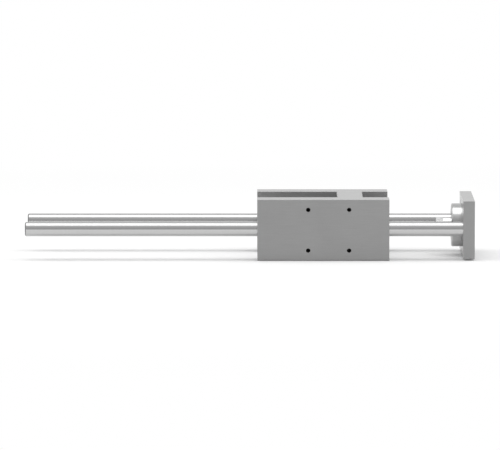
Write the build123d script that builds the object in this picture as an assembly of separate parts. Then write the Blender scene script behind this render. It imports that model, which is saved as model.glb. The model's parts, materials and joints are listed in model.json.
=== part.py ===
from build123d import *
import math
import os

# Linear guide unit for a profile cylinder of 63 mm bore.
# An H-shaped aluminium housing carries two steel guide rods in bronze bushes. The rods are
# screwed to a yoke plate, and a floating coupling on that plate takes the piston rod.
#
# Frame: X is the stroke, positive as the rods move out. Y runs from rod to rod and Z is up.
# The origin lies on the piston-rod axis, at the face that the cylinder is bolted to.
# Lengths are millimetres.

# Travel
STROKE = 400.0
SHOWN_EXTENSION = 100.0
RETRACTED_GAP = 2.0
ROD_TAIL = 21.0

# Guide rods
ROD_DIAMETER = 20.0
ROD_REAR_CHAMFER = 1.5
ROD_FRONT_CHAMFER = 0.8
ROD_SEAT_DEPTH = 4.0
ROD_THREAD_DEPTH = 26.0
CENTRE_HOLE_DIAMETER = 8.5
CENTRE_DRILL_DIAMETER = 4.0
CENTRE_DRILL_DEPTH = 4.0
CENTRE_CONE_ANGLE = 60.0

# Bushes, wipers and snap rings at the two ends of each rod bore
BUSH_WALL = 3.0
BUSH_LENGTH = 30.0
BUSH_CHAMFER = 0.6
OIL_GROOVE_WIDTH = 3.0
OIL_GROOVE_DEPTH = 0.6
WIPER_WIDTH = 4.0
WIPER_BODY_HEIGHT = 1.6
WIPER_LIP_THICKNESS = 0.9
SNAP_RING_THICKNESS = 1.2
SNAP_RING_HEIGHT = 2.0
SNAP_RING_GAP_ANGLE = 50.0
SNAP_GROOVE_DEPTH = 0.6
SNAP_GROOVE_PLAY = 0.1
BORE_LAND = 1.5
RUNNING_CLEARANCE = 0.02
SEAT_CLEARANCE = 0.02
BORE_RELIEF = 1.0

# Housing, an H seen from above
HOUSING_HEIGHT = 85.0
SLOT_WIDTH = 83.0
REAR_SLOT_DEPTH = 111.0
WEB_THICKNESS = 35.0
FRONT_SLOT_DEPTH = 36.0
INNER_WALL = 5.0
OUTER_WALL = 3.5
SLOT_CORNER_RADIUS = 1.5
HOUSING_EDGE_CHAMFER = 0.3
BORE_MOUTH_CHAMFER = 0.5

# Cylinder seat in the web
PILOT_DIAMETER = 45.0
PILOT_CHAMFER = 1.0
CYLINDER_HOLE_SPACING = 56.5
CYLINDER_HOLE_DIAMETER = 9.0
CYLINDER_HEAD_DIAMETER = 15.0
CYLINDER_HEAD_DEPTH = 9.0

# Tapped holes that fix the housing, on both flanks
FIXING_THREAD_DIAMETER = 6.0
FIXING_MOUTH_DIAMETER = 6.4
FIXING_DEPTH = 14.0
FLANK_HOLE_SPACING = 56.5
FLANK_HOLE_FROM_REAR = 70.0
DRILL_POINT_ANGLE = 118.0

# Yoke plate
PLATE_THICKNESS = 16.0
PLATE_HEIGHT = 80.0
PLATE_SIDE_MARGIN = 4.0
PLATE_EDGE_CHAMFER = 0.3
LOAD_HOLE_SPACING = 56.5
LOAD_THREAD_DIAMETER = 8.0
LOAD_MOUTH_DIAMETER = 8.4

# Countersunk screws that hold the rods to the plate
ROD_SCREW_DIAMETER = 10.0
ROD_SCREW_LENGTH = 30.0
ROD_SCREW_HEAD_DIAMETER = 20.0
ROD_SCREW_RIM = 0.6
ROD_SCREW_SOCKET = 6.0
ROD_SCREW_SOCKET_DEPTH = 3.8
ROD_SCREW_POINT = 1.0
ROD_SCREW_SINK = 0.3
SCREW_HOLE_CLEARANCE = 0.5
THREAD_CLEARANCE = 0.05
THREAD_MOUTH_CHAMFER = 0.5

# Coupling: a stud with a flanged head, held with radial float under a round retainer
RETAINER_DIAMETER = 60.0
RETAINER_THICKNESS = 14.5
RETAINER_CHAMFER = 1.5
RETAINER_BORE_CHAMFER = 0.5
STUD_FLOAT = 1.5
STUD_NECK_DIAMETER = 22.0
STUD_NECK_OUT = 21.0
STUD_HEAD_DIAMETER = 32.0
STUD_HEAD_THICKNESS = 6.0
STUD_END_PLAY = 0.05
STUD_HEX_ACROSS_FLATS = 19.0
STUD_HEX_LENGTH = 10.0
STUD_HEX_TURN = 30.0
STUD_TIP_CHAMFER = 0.6
STUD_THREAD_DIAMETER = 16.0
STUD_MOUTH_DIAMETER = 16.6
STUD_THREAD_DEPTH = 26.0

# Socket head screws that hold the retainer to the plate
RETAINER_SCREW_COUNT = 4
RETAINER_SCREW_CIRCLE = 46.0
RETAINER_SCREW_DIAMETER = 5.0
RETAINER_SCREW_LENGTH = 18.0
RETAINER_SCREW_HEAD_DIAMETER = 8.5
RETAINER_SCREW_HEAD_HEIGHT = 5.0
RETAINER_SCREW_SOCKET = 4.0
RETAINER_SCREW_SOCKET_DEPTH = 2.6
RETAINER_SCREW_EDGE = 0.4
RETAINER_SCREW_POINT = 0.5
RETAINER_SCREW_SINK = 0.5
RETAINER_TAP_SPARE = 2.0

# Sizes that follow from those above
ROD_RADIUS = ROD_DIAMETER / 2
BUSH_RADIUS = ROD_RADIUS + BUSH_WALL
SEAT_RADIUS = BUSH_RADIUS + SEAT_CLEARANCE
GROOVE_RADIUS = SEAT_RADIUS + SNAP_GROOVE_DEPTH
GROOVE_WIDTH = SNAP_RING_THICKNESS + SNAP_GROOVE_PLAY
WIPER_START = BORE_LAND + GROOVE_WIDTH
BUSH_START = WIPER_START + WIPER_WIDTH
SEAT_DEPTH = BUSH_START + BUSH_LENGTH
ROD_OFFSET = SLOT_WIDTH / 2 + INNER_WALL + BUSH_RADIUS
HOUSING_WIDTH = 2 * (ROD_OFFSET + BUSH_RADIUS + OUTER_WALL)
HOUSING_LENGTH = REAR_SLOT_DEPTH + WEB_THICKNESS + FRONT_SLOT_DEPTH
HOUSING_REAR = -REAR_SLOT_DEPTH
HOUSING_FRONT = WEB_THICKNESS + FRONT_SLOT_DEPTH
HOUSING_MIDDLE = (HOUSING_REAR + HOUSING_FRONT) / 2
PLATE_BACK = HOUSING_FRONT + RETRACTED_GAP + SHOWN_EXTENSION
PLATE_FRONT = PLATE_BACK + PLATE_THICKNESS
PLATE_WIDTH = 2 * (ROD_OFFSET + ROD_RADIUS + PLATE_SIDE_MARGIN)
ROD_FRONT = PLATE_BACK + ROD_SEAT_DEPTH
ROD_REAR = HOUSING_REAR + SHOWN_EXTENSION - STROKE - ROD_TAIL
RETAINER_BACK = PLATE_BACK - RETAINER_THICKNESS
POCKET_DEPTH = STUD_HEAD_THICKNESS + 2 * STUD_END_PLAY
STUD_TIP = RETAINER_BACK - STUD_NECK_OUT
STUD_HEAD_BACK = PLATE_BACK - STUD_END_PLAY - STUD_HEAD_THICKNESS

SIDES = {"left": 1, "right": -1}
CUT_OVERRUN = 1.0
SAME_PLACE = 1e-6


def turned(points):
    """A solid of revolution about X, from its half section as (x, radius) points."""
    return revolve(make_face(Polyline(*points, close=True)), Axis.X)


def rod(diameter, start, end):
    """A plain cylinder about X between two places."""
    return Pos((start + end) / 2, 0, 0) * Rot(0, 90, 0) * Cylinder(diameter / 2, end - start)


def hexagon(across_flats, start, end, turn=0.0):
    """A hexagonal prism about X between two places."""
    profile = RegularPolygon(across_flats / 2, 6, major_radius=False, rotation=turn)
    return Pos(start, 0, 0) * extrude(Plane.YZ * profile, end - start)


def drill_point(diameter):
    """Height of the cone that a twist drill leaves at the bottom of a hole."""
    return diameter / 2 / math.tan(math.radians(DRILL_POINT_ANGLE / 2))


def tapped_hole(diameter, mouth, depth):
    """Cutter for a blind tapped hole with its mouth at x = 0, as wide as its thread."""
    chamfer_depth = (mouth - diameter) / 2
    return turned([
        (-CUT_OVERRUN, 0),
        (-CUT_OVERRUN, mouth / 2),
        (0, mouth / 2),
        (chamfer_depth, diameter / 2),
        (depth, diameter / 2),
        (depth + drill_point(diameter), 0),
    ])


def through_tapped_hole(diameter, mouth, start, end):
    """Cutter for a tapped hole through a plate, as wide as its thread, chamfered at both mouths."""
    chamfer_depth = (mouth - diameter) / 2
    return turned([
        (start - CUT_OVERRUN, 0),
        (start - CUT_OVERRUN, mouth / 2),
        (start, mouth / 2),
        (start + chamfer_depth, diameter / 2),
        (end - chamfer_depth, diameter / 2),
        (end, mouth / 2),
        (end + CUT_OVERRUN, mouth / 2),
        (end + CUT_OVERRUN, 0),
    ])


def square_pattern(spacing):
    """The four (y, z) corners of a square hole pattern round the X axis."""
    half = spacing / 2
    return [(y, z) for y in (-half, half) for z in (-half, half)]


def at_end_face(x):
    """Whether a place along X lies in the housing's rear or front face."""
    return min(abs(x - HOUSING_REAR), abs(x - HOUSING_FRONT)) < SAME_PLACE


def h_outline():
    """The housing seen from above: two side blocks joined by the web."""
    outline = Pos(HOUSING_MIDDLE, 0) * Rectangle(HOUSING_LENGTH, HOUSING_WIDTH)
    rear_slot = Rectangle(REAR_SLOT_DEPTH + CUT_OVERRUN, SLOT_WIDTH, align=(Align.MAX, Align.CENTER))
    front_slot = Rectangle(FRONT_SLOT_DEPTH + CUT_OVERRUN, SLOT_WIDTH, align=(Align.MIN, Align.CENTER))
    outline = outline - rear_slot - Pos(WEB_THICKNESS, 0) * front_slot
    web_corners = [v for v in outline.vertices() if not at_end_face(v.X)]
    outline = fillet(web_corners, SLOT_CORNER_RADIUS)
    ends = [v for v in outline.vertices() if at_end_face(v.X)]
    return chamfer(ends, HOUSING_EDGE_CHAMFER)


def bore_end():
    """Cutter for one end of a rod bore: land, snap-ring groove and seat, drilled towards +X."""
    mouth = SEAT_RADIUS + BORE_MOUTH_CHAMFER
    return turned([
        (-CUT_OVERRUN, 0),
        (-CUT_OVERRUN, mouth),
        (0, mouth),
        (BORE_MOUTH_CHAMFER, SEAT_RADIUS),
        (BORE_LAND, SEAT_RADIUS),
        (BORE_LAND, GROOVE_RADIUS),
        (WIPER_START, GROOVE_RADIUS),
        (WIPER_START, SEAT_RADIUS),
        (SEAT_DEPTH, SEAT_RADIUS),
        (SEAT_DEPTH, 0),
    ])


def at_bore_end(piece, side, end):
    """Puts a piece drawn from an end face inwards at the rear or front end of a rod bore."""
    y = SIDES[side] * ROD_OFFSET
    if end == "rear":
        return Pos(HOUSING_REAR, y, 0) * piece
    return Pos(HOUSING_FRONT, y, 0) * Rot(0, 0, 180) * piece


def pilot_bore():
    """Cutter for the bore that takes the cylinder's collar, chamfered at the cylinder's side."""
    radius = PILOT_DIAMETER / 2
    return turned([
        (-CUT_OVERRUN, 0),
        (-CUT_OVERRUN, radius + PILOT_CHAMFER),
        (0, radius + PILOT_CHAMFER),
        (PILOT_CHAMFER, radius),
        (WEB_THICKNESS + CUT_OVERRUN, radius),
        (WEB_THICKNESS + CUT_OVERRUN, 0),
    ])


def cylinder_screw_hole():
    """Cutter for a cylinder screw: through hole, with the head's recess in the front slot."""
    head_seat = WEB_THICKNESS - CYLINDER_HEAD_DEPTH
    through = rod(CYLINDER_HOLE_DIAMETER, -CUT_OVERRUN, head_seat + CUT_OVERRUN)
    recess = rod(CYLINDER_HEAD_DIAMETER, head_seat, WEB_THICKNESS + CUT_OVERRUN)
    return through + recess


def housing():
    """H-shaped block with the rod bores, the cylinder seat and the fixing holes."""
    body = extrude(h_outline(), HOUSING_HEIGHT / 2, both=True)
    faces = body.faces().sort_by(Axis.Z)
    body = chamfer(faces[0].edges() + faces[-1].edges(), HOUSING_EDGE_CHAMFER)
    relief = ROD_DIAMETER + 2 * BORE_RELIEF
    for side, sign in SIDES.items():
        body -= Pos(0, sign * ROD_OFFSET, 0) * rod(relief, HOUSING_REAR, HOUSING_FRONT)
        for end in ("rear", "front"):
            body -= at_bore_end(bore_end(), side, end)
    body -= pilot_bore()
    for y, z in square_pattern(CYLINDER_HOLE_SPACING):
        body -= Pos(0, y, z) * cylinder_screw_hole()
    fixing = tapped_hole(FIXING_THREAD_DIAMETER, FIXING_MOUTH_DIAMETER, FIXING_DEPTH)
    first = HOUSING_REAR + FLANK_HOLE_FROM_REAR
    for sign in SIDES.values():
        for x in (first, first + FLANK_HOLE_SPACING):
            for z in (-FLANK_HOLE_SPACING / 2, FLANK_HOLE_SPACING / 2):
                body -= Pos(x, sign * HOUSING_WIDTH / 2, z) * Rot(0, 0, -90 * sign) * fixing
    return body


def bush():
    """Bronze bush with chamfered ends and an oil groove inside."""
    inner = ROD_RADIUS + RUNNING_CLEARANCE
    start = BUSH_START
    end = BUSH_START + BUSH_LENGTH
    groove_start = (start + end - OIL_GROOVE_WIDTH) / 2
    groove_end = groove_start + OIL_GROOVE_WIDTH
    return turned([
        (start, inner + BUSH_CHAMFER),
        (start, BUSH_RADIUS - BUSH_CHAMFER),
        (start + BUSH_CHAMFER, BUSH_RADIUS),
        (end - BUSH_CHAMFER, BUSH_RADIUS),
        (end, BUSH_RADIUS - BUSH_CHAMFER),
        (end, inner + BUSH_CHAMFER),
        (end - BUSH_CHAMFER, inner),
        (groove_end, inner),
        (groove_end, inner + OIL_GROOVE_DEPTH),
        (groove_start, inner + OIL_GROOVE_DEPTH),
        (groove_start, inner),
        (start + BUSH_CHAMFER, inner),
    ])


def wiper():
    """Rubber wiper: a body in the seat, and a lip that leans outwards along the rod."""
    start = WIPER_START
    end = WIPER_START + WIPER_WIDTH
    lip = ROD_RADIUS + RUNNING_CLEARANCE
    body_inner = BUSH_RADIUS - WIPER_BODY_HEIGHT
    root = end - WIPER_LIP_THICKNESS
    return turned([
        (start, body_inner),
        (start, BUSH_RADIUS),
        (end, BUSH_RADIUS),
        (end, body_inner),
        (start + WIPER_LIP_THICKNESS, lip),
        (start, lip),
        (root, body_inner),
    ])


def snap_ring():
    """Open ring that springs into its groove in front of the wiper."""
    outer = GROOVE_RADIUS - SEAT_CLEARANCE
    inner = outer - SNAP_RING_HEIGHT
    hole = rod(2 * inner, -CUT_OVERRUN, SNAP_RING_THICKNESS + CUT_OVERRUN)
    ring = rod(2 * outer, 0, SNAP_RING_THICKNESS) - hole
    half = math.radians(SNAP_RING_GAP_ANGLE / 2)
    reach = 2 * outer
    gap = make_face(Polyline(
        (0, 0),
        (-reach * math.sin(half), -reach * math.cos(half)),
        (reach * math.sin(half), -reach * math.cos(half)),
        close=True,
    ))
    wedge = extrude(Plane.YZ * gap, SNAP_RING_THICKNESS + CUT_OVERRUN, both=True)
    return Pos(BORE_LAND + SNAP_GROOVE_PLAY / 2, 0, 0) * (ring - wedge)


def guide_rod():
    """Hard-chromed rod: chamfered ends, a centre hole behind and a tapped hole in front."""
    body = turned([
        (ROD_REAR, 0),
        (ROD_REAR, ROD_RADIUS - ROD_REAR_CHAMFER),
        (ROD_REAR + ROD_REAR_CHAMFER, ROD_RADIUS),
        (ROD_FRONT - ROD_FRONT_CHAMFER, ROD_RADIUS),
        (ROD_FRONT, ROD_RADIUS - ROD_FRONT_CHAMFER),
        (ROD_FRONT, 0),
    ])
    cone_slope = math.tan(math.radians(CENTRE_CONE_ANGLE / 2))
    cone_depth = (CENTRE_HOLE_DIAMETER - CENTRE_DRILL_DIAMETER) / 2 / cone_slope
    drill_end = cone_depth + CENTRE_DRILL_DEPTH
    centre_hole = turned([
        (0, 0),
        (0, CENTRE_HOLE_DIAMETER / 2),
        (cone_depth, CENTRE_DRILL_DIAMETER / 2),
        (drill_end, CENTRE_DRILL_DIAMETER / 2),
        (drill_end + drill_point(CENTRE_DRILL_DIAMETER), 0),
    ])
    thread = ROD_SCREW_DIAMETER + 2 * THREAD_CLEARANCE
    tapped = tapped_hole(thread, thread + 2 * THREAD_MOUTH_CHAMFER, ROD_THREAD_DEPTH)
    body -= Pos(ROD_REAR, 0, 0) * centre_hole
    return body - Pos(ROD_FRONT, 0, 0) * Rot(0, 0, 180) * tapped


def rod_screw():
    """Countersunk screw with a hexagon socket, its head at x = 0 and its point towards +X."""
    head = ROD_SCREW_HEAD_DIAMETER / 2
    shank = ROD_SCREW_DIAMETER / 2
    cone_end = ROD_SCREW_RIM + head - shank
    body = turned([
        (0, 0),
        (0, head),
        (ROD_SCREW_RIM, head),
        (cone_end, shank),
        (ROD_SCREW_LENGTH - ROD_SCREW_POINT, shank),
        (ROD_SCREW_LENGTH, shank - ROD_SCREW_POINT),
        (ROD_SCREW_LENGTH, 0),
    ])
    return body - hexagon(ROD_SCREW_SOCKET, -CUT_OVERRUN, ROD_SCREW_SOCKET_DEPTH)


def rod_screw_hole():
    """Cutter for a rod screw in the plate, from its front face (x = 0) towards the rod."""
    head = ROD_SCREW_HEAD_DIAMETER / 2 + SEAT_CLEARANCE
    shank = ROD_SCREW_DIAMETER / 2 + SCREW_HOLE_CLEARANCE
    cone_start = ROD_SCREW_SINK + ROD_SCREW_RIM
    return turned([
        (-CUT_OVERRUN, 0),
        (-CUT_OVERRUN, head),
        (cone_start, head),
        (cone_start + head - shank, shank),
        (PLATE_THICKNESS, shank),
        (PLATE_THICKNESS, 0),
    ])


def yoke_plate():
    """Front plate: rod seats behind, countersunk rod screws in front, tapped holes for the load."""
    body = Pos((PLATE_BACK + PLATE_FRONT) / 2, 0, 0) * Box(PLATE_THICKNESS, PLATE_WIDTH, PLATE_HEIGHT)
    body = chamfer(body.edges(), PLATE_EDGE_CHAMFER)
    seat = rod(ROD_DIAMETER + 2 * SEAT_CLEARANCE, PLATE_BACK - CUT_OVERRUN, ROD_FRONT)
    load_hole = through_tapped_hole(LOAD_THREAD_DIAMETER, LOAD_MOUTH_DIAMETER, PLATE_BACK, PLATE_FRONT)
    for sign in SIDES.values():
        y = sign * ROD_OFFSET
        body -= Pos(0, y, 0) * seat
        body -= Pos(PLATE_FRONT, y, 0) * Rot(0, 0, 180) * rod_screw_hole()
    for y, z in square_pattern(LOAD_HOLE_SPACING):
        body -= Pos(0, y, z) * load_hole
    thread = RETAINER_SCREW_DIAMETER + 2 * THREAD_CLEARANCE
    tap_depth = retainer_screw_head_seat() + RETAINER_SCREW_LENGTH - PLATE_BACK + RETAINER_TAP_SPARE
    retainer_tap = tapped_hole(thread, thread + 2 * THREAD_MOUTH_CHAMFER, tap_depth)
    for y, z in retainer_screw_places():
        body -= Pos(PLATE_BACK, y, z) * retainer_tap
    return body


def retainer_screw_places():
    """The (y, z) places of the retainer screws on their circle."""
    radius = RETAINER_SCREW_CIRCLE / 2
    step = 2 * math.pi / RETAINER_SCREW_COUNT
    angles = [step * (i + 0.5) for i in range(RETAINER_SCREW_COUNT)]
    return [(radius * math.cos(a), radius * math.sin(a)) for a in angles]


def retainer_screw_head_seat():
    """Where the underside of a retainer screw's head bears on the retainer."""
    return RETAINER_BACK + RETAINER_SCREW_SINK + RETAINER_SCREW_HEAD_HEIGHT


def coupling_retainer():
    """Round cover that traps the stud's head against the plate and lets it float."""
    outer = RETAINER_DIAMETER / 2
    bore = STUD_NECK_DIAMETER / 2 + STUD_FLOAT
    pocket = STUD_HEAD_DIAMETER / 2 + STUD_FLOAT
    pocket_floor = PLATE_BACK - POCKET_DEPTH
    body = turned([
        (RETAINER_BACK, bore + RETAINER_BORE_CHAMFER),
        (RETAINER_BACK, outer - RETAINER_CHAMFER),
        (RETAINER_BACK + RETAINER_CHAMFER, outer),
        (PLATE_BACK, outer),
        (PLATE_BACK, pocket),
        (pocket_floor, pocket),
        (pocket_floor, bore),
        (RETAINER_BACK + RETAINER_BORE_CHAMFER, bore),
    ])
    recess_diameter = RETAINER_SCREW_HEAD_DIAMETER + 2 * SCREW_HOLE_CLEARANCE
    through_diameter = RETAINER_SCREW_DIAMETER + SCREW_HOLE_CLEARANCE
    recess = rod(recess_diameter, RETAINER_BACK - CUT_OVERRUN, retainer_screw_head_seat())
    through = rod(through_diameter, RETAINER_BACK, PLATE_BACK + CUT_OVERRUN)
    for y, z in retainer_screw_places():
        body -= Pos(0, y, z) * (recess + through)
    return body


def retainer_screw():
    """Socket head screw with its head seat at x = 0 and its point towards +X."""
    head = RETAINER_SCREW_HEAD_DIAMETER / 2
    shank = RETAINER_SCREW_DIAMETER / 2
    top = -RETAINER_SCREW_HEAD_HEIGHT
    body = turned([
        (top, 0),
        (top, head - RETAINER_SCREW_EDGE),
        (top + RETAINER_SCREW_EDGE, head),
        (0, head),
        (0, shank),
        (RETAINER_SCREW_LENGTH - RETAINER_SCREW_POINT, shank),
        (RETAINER_SCREW_LENGTH, shank - RETAINER_SCREW_POINT),
        (RETAINER_SCREW_LENGTH, 0),
    ])
    return body - hexagon(RETAINER_SCREW_SOCKET, top - CUT_OVERRUN, top + RETAINER_SCREW_SOCKET_DEPTH)


def retainer_screws():
    """All screws of the retainer, as separate solids."""
    seat = retainer_screw_head_seat()
    return Compound(children=[Pos(seat, y, z) * retainer_screw() for y, z in retainer_screw_places()])


def coupling_stud():
    """Stud for the piston rod: hexagon and tapped hole behind, round neck, flanged head in front."""
    neck = STUD_NECK_DIAMETER / 2
    head = STUD_HEAD_DIAMETER / 2
    head_front = STUD_HEAD_BACK + STUD_HEAD_THICKNESS
    body = turned([
        (STUD_TIP, 0),
        (STUD_TIP, neck - STUD_TIP_CHAMFER),
        (STUD_TIP + STUD_TIP_CHAMFER, neck),
        (STUD_HEAD_BACK, neck),
        (STUD_HEAD_BACK, head),
        (head_front, head),
        (head_front, 0),
    ])
    hex_end = STUD_TIP + STUD_HEX_LENGTH
    sleeve = rod(2 * STUD_NECK_DIAMETER, STUD_TIP - CUT_OVERRUN, hex_end)
    hexagon_core = hexagon(STUD_HEX_ACROSS_FLATS, STUD_TIP - CUT_OVERRUN, hex_end, STUD_HEX_TURN)
    thread = tapped_hole(STUD_THREAD_DIAMETER, STUD_MOUTH_DIAMETER, STUD_THREAD_DEPTH)
    return body - (sleeve - hexagon_core) - Pos(STUD_TIP, 0, 0) * thread


def parts():
    """Every sub-part by name, each in its place with the rods shown part-way out."""
    found = {
        "housing": housing(),
        "yoke_plate": yoke_plate(),
        "coupling_retainer": coupling_retainer(),
        "coupling_stud": coupling_stud(),
        "retainer_screws": retainer_screws(),
    }
    for side, sign in SIDES.items():
        across = Pos(0, sign * ROD_OFFSET, 0)
        found[f"guide_rod_{side}"] = across * guide_rod()
        screw_place = Pos(PLATE_FRONT - ROD_SCREW_SINK, sign * ROD_OFFSET, 0) * Rot(0, 0, 180)
        found[f"rod_screw_{side}"] = screw_place * rod_screw()
        for end in ("rear", "front"):
            found[f"bush_{side}_{end}"] = at_bore_end(bush(), side, end)
            found[f"wiper_{side}_{end}"] = at_bore_end(wiper(), side, end)
            found[f"snap_ring_{side}_{end}"] = at_bore_end(snap_ring(), side, end)
    return found


os.makedirs("parts", exist_ok=True)
for name, shape in parts().items():
    export_step(shape, f"parts/{name}.step")
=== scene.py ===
import json
import math

import bmesh
import bpy
from mathutils import Matrix, Vector


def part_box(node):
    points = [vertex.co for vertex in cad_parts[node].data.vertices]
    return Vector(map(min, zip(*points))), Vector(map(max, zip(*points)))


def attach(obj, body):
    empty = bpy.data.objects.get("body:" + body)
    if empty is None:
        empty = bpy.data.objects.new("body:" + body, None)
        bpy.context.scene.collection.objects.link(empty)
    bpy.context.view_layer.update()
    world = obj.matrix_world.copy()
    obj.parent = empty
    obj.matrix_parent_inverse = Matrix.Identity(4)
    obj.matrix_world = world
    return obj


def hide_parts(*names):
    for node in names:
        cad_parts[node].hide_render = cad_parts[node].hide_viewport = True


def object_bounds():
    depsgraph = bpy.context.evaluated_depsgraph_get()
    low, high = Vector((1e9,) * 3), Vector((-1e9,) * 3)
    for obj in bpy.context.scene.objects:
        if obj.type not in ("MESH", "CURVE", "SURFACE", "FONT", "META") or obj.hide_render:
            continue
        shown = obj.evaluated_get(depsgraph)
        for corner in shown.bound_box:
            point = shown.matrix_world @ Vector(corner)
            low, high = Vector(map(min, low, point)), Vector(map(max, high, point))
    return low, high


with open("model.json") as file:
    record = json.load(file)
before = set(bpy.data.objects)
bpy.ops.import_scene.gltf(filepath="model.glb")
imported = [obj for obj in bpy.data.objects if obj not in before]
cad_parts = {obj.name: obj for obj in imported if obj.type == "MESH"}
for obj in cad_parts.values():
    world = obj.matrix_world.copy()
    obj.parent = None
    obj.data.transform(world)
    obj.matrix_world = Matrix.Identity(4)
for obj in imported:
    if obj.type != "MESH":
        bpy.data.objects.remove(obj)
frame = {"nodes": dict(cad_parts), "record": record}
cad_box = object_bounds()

# Everything is in metres and in the part's own frame: X is the stroke, Y runs from rod to rod, Z is up.

# The photograph's camera, fitted to the object's edges
CAMERA_YAW = math.radians(-0.087)
CAMERA_ELEVATION = math.radians(5.783)
CAMERA_DISTANCE = 8.6375
CAMERA_TARGET = Vector((-0.12114, 0.0, -0.0003))
FOCAL_LENGTH_PIXELS = 6208.8
IMAGE_WIDTH_PIXELS = 500.0
SENSOR_WIDTH_MM = 36.0

# Light: a long softbox overhead, in a studio whose tone changes from in front, at -1,
# over the top, at 0, to behind, at 1
SOFTBOX_HEIGHT = 2.5
SOFTBOX_TOWARDS_CAMERA = 0.12
SOFTBOX_LENGTH = 7.0
SOFTBOX_WIDTH = 1.8
SOFTBOX_RADIANCE = 1.72
STUDIO_TONES = (
    (-1.0, 0.52), (-0.87, 0.55), (-0.45, 0.90), (0.0, 0.90), (0.5, 0.78), (0.85, 0.79), (1.0, 0.89),
)

# Floor: where it is seen, it goes from its own tone at FLOOR_NEAR to white at FLOOR_FAR. These two are
# distances in a pattern that is stretched along X.
FLOOR_HALF_SIZE = 150.0
FLOOR_GAP = 0.00005
FLOOR_TONE = 0.71
FLOOR_LIFT = 0.12
FLOOR_NEAR = 0.5
FLOOR_FAR = 1.4
FLOOR_PATTERN = (0.6, 1.0, 0.0)

# Finishes: tones are linear greys, and scales are in grains per metre
ALUMINIUM_TONE = 0.35
CHROME_TONE = 0.54
STEEL_TONE = 0.54
# The stud's steel is paler than the other turned steel: painted light on its hex flats
STUD_PAINTED_LIGHT_TONE = 0.68
ZINC_TONE = 0.42
BRONZE_COLOUR = (0.48, 0.30, 0.15, 1.0)
PORE_COLOUR = (0.12, 0.07, 0.035, 1.0)
OXIDE_COAT = 0.6
COAT_ROUGHNESS = 0.12
COAT_IOR = 1.6
MILLING_SCALE = 60.0
MILLED_ALONG_X = (0.6, 45.0, 45.0)
MILLED_ALONG_Y = (45.0, 0.6, 45.0)
TURNING_SCALE = 3800.0
ROD_AXIS_DISTANCE = 0.0595

# What the finishes measure on the shape
NOISE_LOW = 0.3
NOISE_HIGH = 0.7
BEVEL_SAMPLES = 4
FLAT_LIKENESS = 0.995
EDGE_LIKENESS = 0.90
# How open the surface is, which sets the painted shade in holes and crevices
OPENNESS_SAMPLES = 6
DEEP_OPENNESS = 0.10
GROUND_OPENNESS = 0.60
END_FACE_FROM = 0.3
END_FACE_TO = 0.4

# Threads with the metric profile: each is a ridge inside a plain hole of the thread's outer diameter
FLANK_HOLE_ROWS = (-0.041, 0.0155)
SQUARE_SPACING = 0.0565
FLANK_THREAD = {"radius": 0.003, "pitch": 0.001, "start": 0.0014, "end": 0.0125}
LOAD_THREAD = {"radius": 0.004, "pitch": 0.00125, "start": 0.0006, "end": 0.0154}
STUD_THREAD = {"radius": 0.008, "pitch": 0.0015, "start": 0.0008, "end": 0.025}
THREAD_HEIGHT_PER_PITCH = 0.541
THREAD_ROOT_PER_PITCH = 0.875
THREAD_CREST_PER_PITCH = 0.25
THREAD_IN_WALL = 0.00004
THREAD_STEPS_PER_TURN = 28
THREAD_RUN_OUT_STEPS = THREAD_STEPS_PER_TURN / 3
THREAD_LEAST_SIZE = 0.05
THREAD_SHARP_ANGLE = math.radians(35.0)

# Snap rings with plier lugs; heights are radial
SNAP_RING_HEIGHT = 0.002
SNAP_RING_GAP = math.radians(50.0)
SNAP_RING_LUG_HEIGHT = 0.0031
SNAP_RING_LUG_ANGLE = math.radians(17.0)
SNAP_RING_BLEND_ANGLE = math.radians(9.0)
SNAP_RING_EYE_RADIUS = 0.0008
SNAP_RING_EDGE = 0.00012
SNAP_RING_OUTER_STEPS = 72
SNAP_RING_INNER_STEPS = 60
SNAP_RING_LUG_STEPS = 6
SNAP_RING_EYE_STEPS = 18

# Stands up a shape that was drawn flat, so that it faces along X
FLAT_TO_ACROSS_X = Matrix(((0, 0, 1, 0), (1, 0, 0, 0), (0, 1, 0, 0), (0, 0, 0, 1)))

# The number of the mix node's colour output
COLOUR_RESULT = 2


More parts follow.
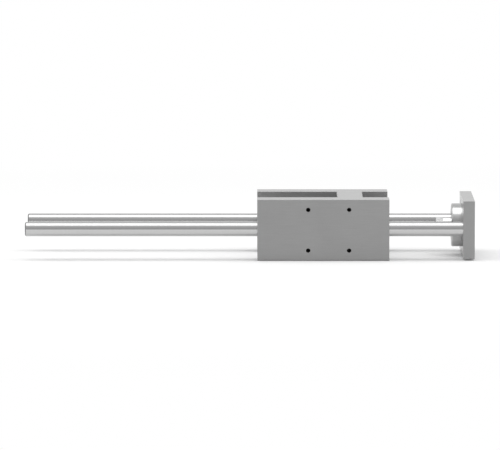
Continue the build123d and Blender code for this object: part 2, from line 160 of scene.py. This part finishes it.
class Graph:
    """Adds nodes to a node tree and links them, so that a material reads from top to bottom."""

    def __init__(self, tree):
        self.tree = tree
        self.tree.nodes.clear()

    def node(self, kind, settings=None, **inputs):
        """A node of that kind. Each input is a number, a colour or another node's output.

        An input is given by its name, or by its number after an underscore.
        """
        made = self.tree.nodes.new(kind)
        for key, value in (settings or {}).items():
            setattr(made, key, value)
        for key, value in inputs.items():
            name = int(key[1:]) if key[1:].isdigit() else key.replace("_", " ")
            socket = made.inputs[name]
            if isinstance(value, bpy.types.NodeSocket):
                self.tree.links.new(value, socket)
            else:
                socket.default_value = value
        return made

    def add(self, kind, output=0, settings=None, **inputs):
        """A node of that kind, of which only one output is used."""
        return self.node(kind, settings, **inputs).outputs[output]

    def math(self, operation, first, second=0.0):
        """One step of arithmetic on numbers."""
        return self.add("ShaderNodeMath", settings={"operation": operation}, _0=first, _1=second)

    def scaled(self, value, by):
        """A number times another."""
        return self.math("MULTIPLY", value, by)

    def total(self, first, *others):
        """The sum of several numbers."""
        result = first
        for other in others:
            result = self.math("ADD", result, other)
        return result

    def remap(self, value, from_low, from_high, to_low=0.0, to_high=1.0):
        """Moves a number from one range to another, held at the ends."""
        return self.add(
            "ShaderNodeMapRange", _0=value, _1=from_low, _2=from_high, _3=to_low, _4=to_high,
        )

    def vary(self, noise, low, high):
        """A number that noise moves between low and high."""
        return self.remap(noise, NOISE_LOW, NOISE_HIGH, low, high)

    def spread(self, noise, by):
        """A number that noise moves up and down from 0."""
        return self.vary(noise, -by, by)

    def either(self, mask, at_zero, at_one):
        """One number where a mask is 0 and another where it is 1."""
        return self.remap(mask, 0.0, 1.0, at_zero, at_one)

    def either_colour(self, mask, at_zero, at_one):
        """One colour where a mask is 0 and another where it is 1."""
        return self.add(
            "ShaderNodeMix", COLOUR_RESULT, {"data_type": "RGBA"}, _0=mask, _6=at_zero, _7=at_one,
        )

    def split(self, vector):
        """The X, Y and Z of a vector."""
        return self.node("ShaderNodeSeparateXYZ", Vector=vector).outputs

    def place(self, scale=(1.0, 1.0, 1.0)):
        """Object coordinates in metres, stretched by scale."""
        coordinates = self.add("ShaderNodeTexCoord", "Object")
        return self.add("ShaderNodeMapping", Vector=coordinates, Scale=scale)

    def noise(self, scale, stretch=(1.0, 1.0, 1.0), detail=3.0, roughness=0.5):
        """Noise round 0.5 whose grains are about 1 / scale metres wide."""
        return self.add(
            "ShaderNodeTexNoise",
            Vector=self.place(stretch), Scale=scale, Detail=detail, Roughness=roughness,
        )

    def grey(self, value):
        """A grey colour from a number."""
        return self.add("ShaderNodeCombineColor", _0=value, _1=value, _2=value)

    def openness_for_painted_shade(self, reach):
        """1 on open ground and 0 deep in a hole or crevice narrower than reach, for painting shade
        there.
        """
        openness = self.add(
            "ShaderNodeAmbientOcclusion", "AO", {"samples": OPENNESS_SAMPLES}, Distance=reach,
        )
        return self.remap(openness, DEEP_OPENNESS, GROUND_OPENNESS)

    def end_face(self):
        """1 on faces that look along X, with their chamfers, and 0 on faces that run along it."""
        along = self.split(self.add("ShaderNodeTexCoord", "Normal"))["X"]
        return self.remap(self.math("ABSOLUTE", along), END_FACE_FROM, END_FACE_TO)

    def rounded(self, radius):
        """The surface's direction, with sharp edges rounded to that radius."""
        return self.add("ShaderNodeBevel", settings={"samples": BEVEL_SAMPLES}, Radius=radius)

    def edge(self, radius):
        """Near 1 within radius of a sharp outer edge and 0 on flat ground."""
        flat = self.add("ShaderNodeNewGeometry", "Normal")
        likeness = self.add(
            "ShaderNodeVectorMath", "Value", {"operation": "DOT_PRODUCT"},
            _0=self.rounded(radius), _1=flat,
        )
        return self.remap(likeness, FLAT_LIKENESS, EDGE_LIKENESS)


def new_material(name):
    """An empty node material and its graph."""
    material = bpy.data.materials.new(name)
    material.use_nodes = True
    return material, Graph(material.node_tree)


def finish_metal(graph, colour, roughness, bumps, bump_height, edge_radius, coat=0.0):
    """The shader that all metals share, with rounded edges, bumps and, where asked, a clear coat."""
    rounded = graph.rounded(edge_radius)
    normal = graph.add(
        "ShaderNodeBump", Strength=1.0, Distance=bump_height, Height=bumps, Normal=rounded,
    )
    shader = graph.add(
        "ShaderNodeBsdfPrincipled",
        Base_Color=colour, Metallic=1.0, Roughness=roughness, Normal=normal,
        Coat_Weight=coat, Coat_Roughness=COAT_ROUGHNESS, Coat_IOR=COAT_IOR,
    )
    graph.node("ShaderNodeOutputMaterial", Surface=shader)


def anodised_aluminium(name, tone):
    """Milled aluminium under a clear oxide skin: fine lines, paler edges, and painted shade deep in its
    holes and crevices.
    """
    material, graph = new_material(name)
    grain = graph.noise(scale=4200.0, detail=2.0)
    cloud = graph.noise(scale=14.0, detail=4.0)
    long_lines = graph.noise(MILLING_SCALE, MILLED_ALONG_X, detail=4.0)
    end_lines = graph.noise(MILLING_SCALE, MILLED_ALONG_Y, detail=4.0)
    milling = graph.either(graph.end_face(), long_lines, end_lines)
    worn = graph.edge(radius=0.0005)
    openness_for_painted_shade = graph.openness_for_painted_shade(reach=0.008)
    shade = graph.total(
        graph.spread(cloud, by=0.012),
        tone,
        graph.spread(grain, by=0.018),
        graph.spread(milling, by=0.024),
        graph.either(worn, at_zero=0.0, at_one=0.06),
    )
    # Painted shade: the tone falls to a quarter deep in holes and crevices
    shade = graph.scaled(shade, by=graph.either(openness_for_painted_shade, at_zero=0.25, at_one=1.0))
    polish = graph.either(worn, at_zero=0.0, at_one=0.12)
    roughness = graph.math("SUBTRACT", graph.vary(milling, low=0.54, high=0.62), polish)
    bumps = graph.total(grain, graph.scaled(milling, by=0.4))
    finish_metal(
        graph, graph.grey(shade), roughness, bumps,
        bump_height=0.00001, edge_radius=0.0003, coat=OXIDE_COAT,
    )
    return material


def turning_lines(graph, axis_distance):
    """Fine noise in rings round axes along X, which lie at that distance to the left and right."""
    at = graph.split(graph.place())
    aside = graph.math("SUBTRACT", graph.math("ABSOLUTE", at["Y"]), axis_distance)
    aside_squared = graph.scaled(aside, by=aside)
    upward_squared = graph.scaled(at["Z"], by=at["Z"])
    radius = graph.math("SQRT", graph.total(aside_squared, upward_squared))
    lines_at = graph.add("ShaderNodeCombineXYZ", X=at["X"], Y=radius, Z=0.0)
    return graph.add("ShaderNodeTexNoise", Vector=lines_at, Scale=TURNING_SCALE, Detail=2.0)


def ground_rod(name, tone):
    """Hard-chromed, ground rod: fine lines round it, a few long rub marks, and turned ends that are
    rougher and, as painted shade, much darker.
    """
    material, graph = new_material(name)
    grinding = graph.noise(scale=50.0, stretch=(90.0, 1.0, 1.0), detail=4.0, roughness=0.6)
    rubbing = graph.noise(scale=70.0, stretch=(0.06, 12.0, 12.0), detail=3.0)
    turned = graph.end_face()
    lines = turning_lines(graph, ROD_AXIS_DISTANCE)
    shade = graph.total(graph.spread(grinding, by=0.015), tone)
    # The turned ends are rougher, which is real, and their tone is cut to about 0.4, which is painted
    # shade
    end_dullness_and_painted_shade = graph.vary(lines, low=0.33, high=0.47)
    shade = graph.scaled(shade, by=graph.either(turned, at_zero=1.0, at_one=end_dullness_and_painted_shade))
    roughness = graph.total(
        graph.vary(grinding, low=0.13, high=0.19),
        graph.remap(rubbing, from_low=0.55, from_high=0.75, to_high=0.05),
        graph.either(turned, at_zero=0.0, at_one=0.15),
    )
    ridges = graph.scaled(turned, by=graph.scaled(lines, by=4.0))
    bumps = graph.total(grinding, ridges)
    finish_metal(graph, graph.grey(shade), roughness, bumps, bump_height=0.0000012, edge_radius=0.0003)
    return material


def turned_steel(name, tone):
    """Fine-turned bright steel: the tool's lines run round the X axis, on faces and outsides."""
    material, graph = new_material(name)
    lines = turning_lines(graph, axis_distance=0.0)
    cloud = graph.noise(scale=120.0, detail=3.0)
    worn = graph.edge(radius=0.0004)
    shade = graph.total(
        graph.spread(cloud, by=0.02),
        tone,
        graph.either(worn, at_zero=0.0, at_one=0.06),
    )
    roughness = graph.vary(lines, low=0.17, high=0.26)
    finish_metal(graph, graph.grey(shade), roughness, lines, bump_height=0.000003, edge_radius=0.00025)
    return material


def plated_screw(name, tone):
    """Zinc-plated screw steel, a little cloudy, with paler worn edges."""
    material, graph = new_material(name)
    cloud = graph.noise(scale=700.0, detail=4.0)
    fine = graph.noise(scale=6000.0, detail=2.0)
    worn = graph.edge(radius=0.0003)
    shade = graph.total(
        graph.spread(cloud, by=0.05),
        tone,
        graph.either(worn, at_zero=0.0, at_one=0.15),
    )
    roughness = graph.vary(cloud, low=0.28, high=0.40)
    finish_metal(graph, graph.grey(shade), roughness, fine, bump_height=0.000004, edge_radius=0.00015)
    return material


def thread_in_painted_shade(name):
    """The flanks of a tapped thread, near black as painted shade, with fine marks of the tap and pale
    crests.
    """
    material, graph = new_material(name)
    marks = graph.noise(scale=3000.0, detail=3.0)
    worn = graph.edge(radius=0.0001)
    shade = graph.total(
        # Painted shade: a flank tone of 0.03 to 0.06 stands for the shade deep in the hole
        graph.vary(marks, low=0.03, high=0.06),
        graph.either(worn, at_zero=0.0, at_one=0.06),
    )
    roughness = graph.vary(marks, low=0.30, high=0.45)
    finish_metal(graph, graph.grey(shade), roughness, marks, bump_height=0.000005, edge_radius=0.00006)
    return material


def phosphated_spring_steel(name):
    """Dark phosphated spring steel, matt, with bare edges."""
    material, graph = new_material(name)
    fine = graph.noise(scale=5000.0, detail=3.0)
    worn = graph.edge(radius=0.0002)
    shade = graph.total(
        graph.vary(fine, low=0.09, high=0.15),
        graph.either(worn, at_zero=0.0, at_one=0.16),
    )
    roughness = graph.vary(fine, low=0.45, high=0.60)
    finish_metal(graph, graph.grey(shade), roughness, fine, bump_height=0.000006, edge_radius=0.0001)
    return material


def sintered_bronze(name):
    """Oil-soaked sintered bronze: warm brown metal with fine dark pores."""
    material, graph = new_material(name)
    cells = graph.add("ShaderNodeTexVoronoi", Vector=graph.place(), Scale=4000.0)
    solid = graph.remap(cells, from_low=0.12, from_high=0.30)
    colour = graph.either_colour(solid, PORE_COLOUR, BRONZE_COLOUR)
    roughness = graph.either(solid, at_zero=0.65, at_one=0.34)
    finish_metal(graph, colour, roughness, solid, bump_height=0.00001, edge_radius=0.0002)
    return material


def wiper_rubber(name):
    """Black wiper rubber: matt, faintly mottled, with a moulded skin."""
    material, graph = new_material(name)
    skin = graph.noise(scale=2500.0, detail=3.0)
    dust = graph.noise(scale=300.0, detail=4.0)
    shade = graph.remap(dust, from_low=0.4, from_high=0.8, to_low=0.028, to_high=0.050)
    roughness = graph.vary(skin, low=0.50, high=0.65)
    normal = graph.add("ShaderNodeBump", Strength=0.6, Distance=0.00002, Height=skin)
    shader = graph.add(
        "ShaderNodeBsdfPrincipled",
        Base_Color=graph.grey(shade), Metallic=0.0, Roughness=roughness, Normal=normal,
    )
    graph.node("ShaderNodeOutputMaterial", Surface=shader)
    return material


def dress_nodes():
    """Gives every CAD node the finish of its material slot, and the stud a paler copy of the turned
    steel, which is painted light.
    """
    finishes = {
        "anodised_housing": anodised_aluminium("anodised_housing_finish", ALUMINIUM_TONE),
        "anodised_plate": anodised_aluminium("anodised_plate_finish", ALUMINIUM_TONE),
        "chromed_rod": ground_rod("chromed_rod_finish", CHROME_TONE),
        "turned_steel": turned_steel("turned_steel_finish", STEEL_TONE),
        "screw_steel": plated_screw("screw_steel_finish", ZINC_TONE),
        "spring_steel": phosphated_spring_steel("spring_steel_finish"),
        "bronze": sintered_bronze("bronze_finish"),
        "wiper_rubber": wiper_rubber("wiper_rubber_finish"),
    }
    # The stud's paler copy of the turned steel is painted light
    painted_light_copies = {"coupling_stud": turned_steel("stud_steel_painted_light_finish", STUD_PAINTED_LIGHT_TONE)}
    for subpart in frame["record"]["subparts"]:
        node = subpart["node"]
        mesh = frame["nodes"][node].data
        mesh.materials.clear()
        mesh.materials.append(painted_light_copies.get(node, finishes[subpart["material_slot"]]))
    return finishes


def add_piece(name, mesh, body, finish):
    """A new piece that rides on a body and wears that finish."""
    piece = bpy.data.objects.new(name, mesh)
    bpy.context.scene.collection.objects.link(piece)
    mesh.materials.clear()
    mesh.materials.append(finish)
    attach(piece, body)
    return piece


def thread_section(angle, along, size, thread):
    """The four corners of the ridge's cross-section at one angle, shrunk by size where it runs out."""
    pitch = thread["pitch"]
    outer = thread["radius"] + THREAD_IN_WALL
    inner = outer - THREAD_HEIGHT_PER_PITCH * pitch * size
    root = THREAD_ROOT_PER_PITCH * pitch * size / 2
    crest = THREAD_CREST_PER_PITCH * pitch * size / 2
    corners = [
        (along - root, outer),
        (along - crest, inner),
        (along + crest, inner),
        (along + root, outer),
    ]
    return [Vector((x, r * math.cos(angle), r * math.sin(angle))) for x, r in corners]


def thread_sections(thread):
    """The ridge's cross-sections one after another along its helix."""
    pitch = thread["pitch"]
    turns = (thread["end"] - thread["start"] - pitch) / pitch
    steps = int(turns * THREAD_STEPS_PER_TURN)
    sections = []
    for step in range(steps + 1):
        angle = 2 * math.pi * step / THREAD_STEPS_PER_TURN
        along = thread["start"] + pitch / 2 + pitch * step / THREAD_STEPS_PER_TURN
        size = min(1.0, step / THREAD_RUN_OUT_STEPS, (steps - step) / THREAD_RUN_OUT_STEPS)
        sections.append(thread_section(angle, along, max(THREAD_LEAST_SIZE, size), thread))
    return sections


def add_thread(shape, thread, place):
    """Adds one helical ridge to a bmesh: it runs from the origin towards +X and is moved by place."""
    rings = [
        [shape.verts.new(place @ corner) for corner in section]
        for section in thread_sections(thread)
    ]
    for ring, following in zip(rings, rings[1:]):
        for side in range(len(ring)):
            other = (side + 1) % len(ring)
            shape.faces.new((ring[side], ring[other], following[other], following[side]))
    shape.faces.new(rings[0])
    shape.faces.new(reversed(rings[-1]))


def threads_mesh(name, thread, places):
    """One mesh with the same thread in several holes."""
    shape = bmesh.new()
    for place in places:
        add_thread(shape, thread, place)
    bmesh.ops.recalc_face_normals(shape, faces=shape.faces)
    mesh = bpy.data.meshes.new(name)
    shape.to_mesh(mesh)
    shape.free()
    mesh.shade_smooth()
    mesh.set_sharp_from_angle(angle=THREAD_SHARP_ANGLE)
    return mesh


def flank_hole_places():
    """Mouth and direction of the eight tapped holes in the housing's flanks."""
    low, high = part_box("housing")
    half = SQUARE_SPACING / 2
    places = []
    for y, turn in ((low.y, math.pi / 2), (high.y, -math.pi / 2)):
        for x in FLANK_HOLE_ROWS:
            for z in (-half, half):
                places.append(Matrix.Translation((x, y, z)) @ Matrix.Rotation(turn, 4, "Z"))
    return places


def load_hole_places():
    """Mouth and direction of the four tapped holes through the yoke plate."""
    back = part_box("yoke_plate")[0].x
    half = SQUARE_SPACING / 2
    return [Matrix.Translation((back, y, z)) for y in (-half, half) for z in (-half, half)]


def add_threads():
    """The threads of the flank holes, the load holes and the coupling stud."""
    stud_mouth = Matrix.Translation((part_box("coupling_stud")[0].x, 0.0, 0.0))
    flanks = threads_mesh("flank_threads", FLANK_THREAD, flank_hole_places())
    loads = threads_mesh("load_threads", LOAD_THREAD, load_hole_places())
    stud = threads_mesh("stud_thread", STUD_THREAD, [stud_mouth])
    # The threads wear a near-black finish, which is painted shade
    shaded_thread_finish = thread_in_painted_shade("thread_painted_shade_finish")
    add_piece("flank_threads", flanks, "guide_housing", shaded_thread_finish)
    add_piece("load_threads", loads, "carriage", shaded_thread_finish)
    add_piece("stud_thread", stud, "rod_coupling", shaded_thread_finish)


def on_circle(radius, turn):
    """The point at that angle on a circle round the origin, counted from straight down."""
    return radius * math.sin(turn), -radius * math.cos(turn)


def arc(radius, start, end, steps):
    """Points on an arc round the origin, both ends included."""
    return [on_circle(radius, start + (end - start) * step / steps) for step in range(steps + 1)]


def snap_ring_outline(outer):
    """Outline of an internal snap ring, open at the bottom, with a lug at each end."""
    gap = SNAP_RING_GAP / 2
    full = 2 * math.pi - gap
    inner = outer - SNAP_RING_HEIGHT
    lug = outer - SNAP_RING_LUG_HEIGHT
    lug_end = SNAP_RING_LUG_ANGLE
    blend_end = SNAP_RING_LUG_ANGLE + SNAP_RING_BLEND_ANGLE
    points = arc(outer, gap, full, SNAP_RING_OUTER_STEPS)
    points += arc(lug, full, full - lug_end, SNAP_RING_LUG_STEPS)
    points += arc(inner, full - blend_end, gap + blend_end, SNAP_RING_INNER_STEPS)
    points += arc(lug, gap + lug_end, gap, SNAP_RING_LUG_STEPS)
    return points


def snap_ring_eyes(outer):
    """Outlines of the two holes for the pliers, one in each lug."""
    radius = outer - SNAP_RING_LUG_HEIGHT / 2
    from_bottom = SNAP_RING_GAP / 2 + SNAP_RING_LUG_ANGLE / 2
    circle = arc(SNAP_RING_EYE_RADIUS, 0.0, 2 * math.pi, SNAP_RING_EYE_STEPS)[:-1]
    eyes = []
    for turn in (from_bottom, -from_bottom):
        across, up = on_circle(radius, turn)
        eyes.append([(across + y, up + z) for y, z in circle])
    return eyes


def stamped_curve(name, outlines, thickness):
    """A flat filled shape with those outlines, its thickness and slightly rounded edges."""
    curve = bpy.data.curves.new(name, "CURVE")
    curve.dimensions = "2D"
    curve.fill_mode = "BOTH"
    curve.extrude = thickness / 2 - SNAP_RING_EDGE
    curve.bevel_depth = SNAP_RING_EDGE
    curve.bevel_resolution = 1
    curve.offset = -SNAP_RING_EDGE
    for points in outlines:
        spline = curve.splines.new("POLY")
        spline.points.add(len(points) - 1)
        for point, (across, up) in zip(spline.points, points):
            point.co = (across, up, 0.0, 1.0)
        spline.use_cyclic_u = True
    return curve


def snap_ring_mesh(node):
    """A stamped ring with lugs, plier holes and rounded edges, where the CAD ring is."""
    low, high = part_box(node)
    outer = (high.y - low.y) / 2
    outlines = [snap_ring_outline(outer)] + snap_ring_eyes(outer)
    curve = stamped_curve(node + "_outline", outlines, high.x - low.x)
    holder = bpy.data.objects.new(node + "_outline", curve)
    mesh = bpy.data.meshes.new_from_object(holder)
    bpy.data.objects.remove(holder)
    middle = Vector(((low.x + high.x) / 2, (low.y + high.y) / 2, high.z - outer))
    mesh.transform(Matrix.Translation(middle) @ FLAT_TO_ACROSS_X)
    return mesh


def add_snap_rings(finish):
    """Snap rings with lugs in place of the plain CAD rings."""
    for subpart in frame["record"]["subparts"]:
        node = subpart["node"]
        if node.startswith("snap_ring"):
            mesh = snap_ring_mesh(node)
            ring = add_piece(node + "_with_lugs", mesh, "guide_housing", finish)
            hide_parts(node)


def floor_finish():
    """Diffuse near the object, and lifted to white further off where it is seen or reflected."""
    material, graph = new_material("floor_finish")
    path = graph.node("ShaderNodeLightPath").outputs
    seen = graph.math("MAXIMUM", path["Is Camera Ray"], path["Is Glossy Ray"])
    seen = graph.math("MAXIMUM", seen, path["Is Transmission Ray"])
    distance = graph.add(
        "ShaderNodeVectorMath", "Value", {"operation": "LENGTH"}, _0=graph.place(FLOOR_PATTERN),
    )
    far = graph.remap(distance, FLOOR_NEAR, FLOOR_FAR)
    lit = graph.add("ShaderNodeBsdfDiffuse", Color=(FLOOR_TONE, FLOOR_TONE, FLOOR_TONE, 1.0))
    lift = graph.add("ShaderNodeEmission", Strength=graph.scaled(seen, by=FLOOR_LIFT))
    near = graph.add("ShaderNodeAddShader", _0=lit, _1=lift)
    white = graph.add("ShaderNodeEmission", Strength=1.0)
    shader = graph.add("ShaderNodeMixShader", _0=graph.scaled(seen, by=far), _1=near, _2=white)
    graph.node("ShaderNodeOutputMaterial", Surface=shader)
    return material


def add_floor():
    """A plain white floor that keeps the object's shadow and goes to even white further off."""
    floor_height = cad_box[0][2] - FLOOR_GAP
    size = FLOOR_HALF_SIZE
    corners = [(-size, -size), (size, -size), (size, size), (-size, size)]
    mesh = bpy.data.meshes.new("floor")
    mesh.from_pydata([(x, y, floor_height) for x, y in corners], [], [(0, 1, 2, 3)])
    floor = bpy.data.objects.new("floor", mesh)
    bpy.context.scene.collection.objects.link(floor)
    mesh.materials.append(floor_finish())


def add_softbox():
    """A long softbox overhead, in line with the rods."""
    lamp = bpy.data.lights.new("softbox", "AREA")
    lamp.shape = "RECTANGLE"
    lamp.size = SOFTBOX_LENGTH
    lamp.size_y = SOFTBOX_WIDTH
    lamp.energy = SOFTBOX_RADIANCE * math.pi * SOFTBOX_LENGTH * SOFTBOX_WIDTH
    softbox = bpy.data.objects.new("softbox", lamp)
    softbox.location = (0.0, -SOFTBOX_TOWARDS_CAMERA, SOFTBOX_HEIGHT)
    bpy.context.scene.collection.objects.link(softbox)


def add_studio():
    """A pale studio all round, whose tone depends only on how far a direction points along Y."""
    world = bpy.data.worlds.new("studio")
    world.use_nodes = True
    bpy.context.scene.world = world
    graph = Graph(world.node_tree)
    direction = graph.split(graph.add("ShaderNodeTexCoord", "Generated"))
    ramp = graph.node("ShaderNodeValToRGB", _0=graph.remap(direction["Y"], from_low=-1.0, from_high=1.0))
    stops = ramp.color_ramp.elements
    while len(stops) < len(STUDIO_TONES):
        # A new stop can start anywhere, since each is put in its place below
        stops.new(0.5)
    for stop, (position, tone) in zip(stops, STUDIO_TONES):
        stop.position = (position + 1.0) / 2.0
        stop.color = (tone, tone, tone, 1.0)
    background = graph.add("ShaderNodeBackground", Color=ramp.outputs["Color"], Strength=1.0)
    graph.node("ShaderNodeOutputWorld", Surface=background)


def add_camera():
    """The photograph's camera."""
    back = Vector((
        math.sin(CAMERA_YAW) * math.cos(CAMERA_ELEVATION),
        -math.cos(CAMERA_YAW) * math.cos(CAMERA_ELEVATION),
        math.sin(CAMERA_ELEVATION),
    ))
    lens = bpy.data.cameras.new("photograph")
    lens.sensor_fit = "HORIZONTAL"
    lens.sensor_width = SENSOR_WIDTH_MM
    lens.lens = FOCAL_LENGTH_PIXELS / IMAGE_WIDTH_PIXELS * SENSOR_WIDTH_MM
    camera = bpy.data.objects.new("photograph", lens)
    camera.location = CAMERA_TARGET + back * CAMERA_DISTANCE
    camera.rotation_euler = back.to_track_quat("Z", "Y").to_euler()
    bpy.context.scene.collection.objects.link(camera)
    bpy.context.scene.camera = camera


finishes = dress_nodes()
add_threads()
add_snap_rings(finishes["spring_steel"])
add_floor()
add_softbox()
add_studio()
add_camera()
bpy.context.scene.view_settings.view_transform = "Standard"
